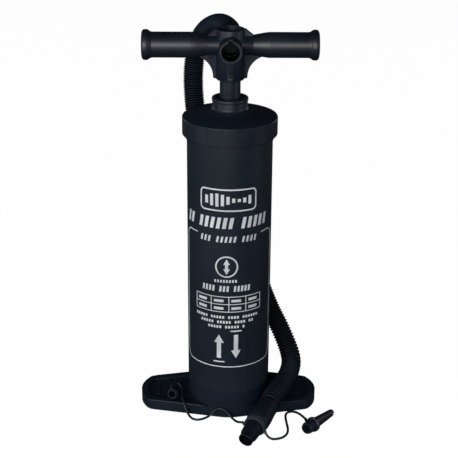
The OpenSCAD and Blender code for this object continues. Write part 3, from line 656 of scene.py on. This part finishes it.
def roundedBox(low, high, radius, steps=5):
    corners = []
    for cx, cy, start in ((high[0] - radius, low[1] + radius, -90), (high[0] - radius, high[1] - radius, 0),
                          (low[0] + radius, high[1] - radius, 90), (low[0] + radius, low[1] + radius, 180)):
        for k in range(steps + 1):
            a = math.radians(start + 90 * k / steps)
            corners.append((cx + radius * math.cos(a), cy + radius * math.sin(a)))
    return corners


def slanted(start, end, low, high, pitch, width, lean, skip=()):
    shapes = []
    count = int((end - start) / pitch)
    for k in range(count):
        if k not in skip:
            u = start + pitch * k
            shapes.append(((u, low), (u + width, low), (u + width + lean, high), (u + lean, high)))
    return shapes


def arrow(u, low, high, width, both=False):
    head, stem = width * 0.9, width * 0.22
    foot = low + head if both else low
    shapes = [((u - stem, foot), (u + stem, foot), (u + stem, high - head), (u - stem, high - head)),
              ((u - width / 2, high - head), (u + width / 2, high - head), (u, high))]
    if both:
        shapes.append(((u + width / 2, foot), (u - width / 2, foot), (u, low)))
    return shapes


def labelShapes():
    m, line = label["middle"], label["line"]
    shapes = []
    right = [q for q in roundedBox((m - 65, 72), (m + 65, 246), 10) if q[0] > m]
    top = [(m + 42, 246)] + sorted([q for q in right if q[1] > 200], key=lambda q: -q[1])
    bottom = sorted([q for q in right if q[1] < 200], key=lambda q: -q[1])
    half = top + bottom + [(m, 72)]
    shapes += stroke(half, line) + stroke([(2 * m - u, v) for u, v in half], line)
    shapes += slanted(m - 37, m + 36, 238, 245.5, 5.2, 2.6, 1.6, (3, 9))
    # panel with a plain wave of bars
    shapes += stroke(roundedBox((m - 36, 278), (m + 33, 304), 5), 1.8, closed=True)
    for k in range(9):
        tall = 8 + 5 * math.sin(k * 0.8)
        u = m - 30 + 6.6 * k
        shapes.append(((u, 291 - tall / 1.6), (u + 3.8, 291 - tall / 1.6), (u + 3.8, 291 + tall / 1.6),
                       (u, 291 + tall / 1.6)))
    shapes += slanted(m - 62, m + 58, 255.5, 269.5, 7.6, 4.4, 2.6, (2, 9))
    # ring with an arrow that points both ways
    turns = [a * math.pi / 16 for a in range(32)]
    ring = [(m - 3 + 13 * math.cos(a), 206.5 + 13 * math.sin(a)) for a in turns]
    shapes += stroke(ring, 1.8, closed=True) + arrow(m - 3, 196.5, 216.5, 8, both=True)
    shapes += slanted(m - 18, m + 14, 186, 189.5, 3.6, 2.2, 0)
    shapes += slanted(m - 34, m + 30, 174, 181.5, 4.4, 2.6, 0.8, (4, 8))
    # plain grid of two rows
    for v in (147, 157, 167):
        shapes += stroke([(m - 44, v), (m + 42, v)], 1)
    for u in (-44, -22, 0, 21, 42):
        shapes += stroke([(m + u, 147), (m + u, 167)], 1)
    for row in (150, 160):
        for k in range(4):
            u = m - 40 + 21.5 * k
            shapes.append(((u, row), (u + 12, row), (u + 12, row + 3.4), (u, row + 3.4)))
    for row, reach in ((138, 44), (131.5, 36), (125, 26)):
        shapes += slanted(m - reach, m + reach - 2, row, row + 3.4, 3.6, 2.4, 0, (5, 11, 16))
    # up and down arrows over short bars
    shapes += arrow(m - 12, 84, 116, 12) + stroke([(m - 19, 79), (m - 5, 79)], 1.6)
    down = [[(u, 200 - v) for u, v in shape][::-1] for shape in arrow(m + 9, 84, 116, 12)]
    shapes += down + stroke([(m + 2, 121), (m + 16, 121)], 1.6)
    return shapes


def makePrint():
    bm = bmesh.new()
    for shape in labelShapes():
        bm.faces.new([bm.verts.new((q[0], q[1], 0)) for q in shape])
    for u in range(-66, 68, 3):
        every = bm.verts[:] + bm.edges[:] + bm.faces[:]
        bmesh.ops.bisect_plane(bm, geom=every, plane_co=(u, 0, 0), plane_no=(1, 0, 0))
    for face in bm.faces:
        if face.normal.z < 0:
            face.normal_flip()
    walls = bmesh.ops.extrude_face_region(bm, geom=bm.faces[:])["geom"]
    for v in walls:
        if isinstance(v, bmesh.types.BMVert):
            v.co.z = 1
    base = label["radius"]
    for v in bm.verts:
        turn = v.co.x / base
        radius = (base + label["proud"]) if v.co.z > 0.5 else base - 0.1
        v.co = point((radius * math.sin(turn), -radius * math.cos(turn), v.co.y))
    bmesh.ops.recalc_face_normals(bm, faces=bm.faces)
    return fromBmesh("barrelPrint", bm, 30, recalculate=False)


barrelPrint = dress(makePrint(), "print")
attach(barrelPrint, "stand")
print("print made,", len(barrelPrint.data.polygons), "faces")

# finishes of the pieces kept from the CAD model
keptFinishes = {
    "barrel": "barrel", "piston_rod": "rod", "hose_connector": "nozzle", "hub_screws": "darkSteel",
    "guide_bush": "inner", "piston_lower": "inner", "piston_upper": "inner", "piston_screws": "steel",
    "rod_pin": "steel", "base_seal": "seal", "bottom_bumper": "seal", "cap_gasket": "seal",
    "rod_wiper": "seal", "top_bumper": "seal", "piston_seal": "seal", "connector_seal": "seal",
    "inflate_valve_lower": "valve", "inflate_valve_upper": "valve", "deflate_valve_lower": "valve",
    "deflate_valve_upper": "valve",
}
for node, finish in keptFinishes.items():
    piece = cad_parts[node]
    if not piece.material_slots:
        piece.data.materials.append(None)
    for holder in piece.material_slots:
        holder.material = finishes[finish]


# floor, backdrop and light
def makeFloor():
    bm = bmesh.new()
    for x, y in ((-6, -6), (6, -6), (6, 6), (-6, 6)):
        bm.verts.new((x, y, -0.0002))
    bm.faces.new(bm.verts)
    floor = fromBmesh("floor", bm)
    f = Finish("floorPaper", {"Roughness": 0.9, "Specular IOR Level": 0.1})
    seen = f.make("ShaderNodeLightPath")
    paper = f.mix(f.between(0.3, 0.7, f.noise(3, 2)), (0.8, 0.8, 0.8, 1), (0.82, 0.82, 0.82, 1))
    tone = f.mix(seen, (0.08, 0.08, 0.08, 1), paper)
    f.feed(f.surface, {"Base Color": tone})
    glow = f.make("ShaderNodeEmission", None, {"Color": (1, 1, 1, 1), "Strength": 1.05})
    both = f.make("ShaderNodeMixShader", None, {0: seen * 0.93, 1: Wire(f, f.surface.outputs[0]), 2: glow})
    f.tree.links.new(both.socket, f.tree.nodes["Material Output"].inputs["Surface"])
    floor.data.materials.append(f.material)


def makeWorld():
    world = bpy.data.worlds.new("studio")
    world.use_nodes = True
    scene.world = world
    tree = world.node_tree
    back = tree.nodes["Background"]
    path = tree.nodes.new("ShaderNodeLightPath")
    choice = tree.nodes.new("ShaderNodeMix")
    choice.data_type = "RGBA"
    choice.inputs[6].default_value = (0.018, 0.019, 0.021, 1)
    choice.inputs[7].default_value = (1, 1, 1, 1)
    tree.links.new(path.outputs["Is Camera Ray"], choice.inputs[0])
    tree.links.new(choice.outputs[2], back.inputs["Color"])


def makeLamp(name, place, target, size, power):
    lamp = bpy.data.lights.new(name, "AREA")
    lamp.shape, lamp.size, lamp.size_y, lamp.energy = "RECTANGLE", size[0], size[1], power
    holder = bpy.data.objects.new(name, lamp)
    holder.location = place
    holder.rotation_euler = (Vector(target) - Vector(place)).to_track_quat("-Z", "Y").to_euler()
    scene.collection.objects.link(holder)


makeFloor()
makeWorld()
lamps = {"front": ((-0.8, -2.6, 0.95), (0, 0, 0.25), (2.8, 0.8), 70),
         "left": ((-2.3, -0.9, 0.6), (0, 0, 0.25), (0.8, 1.2), 12),
         "right": ((2.3, -0.7, 0.6), (0, 0, 0.25), (0.8, 1.2), 9),
         "rearLeft": ((-1.9, 1.7, 0.35), (0, 0, 0.25), (1.0, 0.6), 3.2),
         "rearRight": ((1.9, 1.7, 0.35), (0, 0, 0.25), (1.0, 0.6), 3.2)}
for name, (place, target, size, power) in lamps.items():
    makeLamp(name, place, target, size, power)
scene.view_settings.view_transform = "Standard"
print("stage and lamps set")
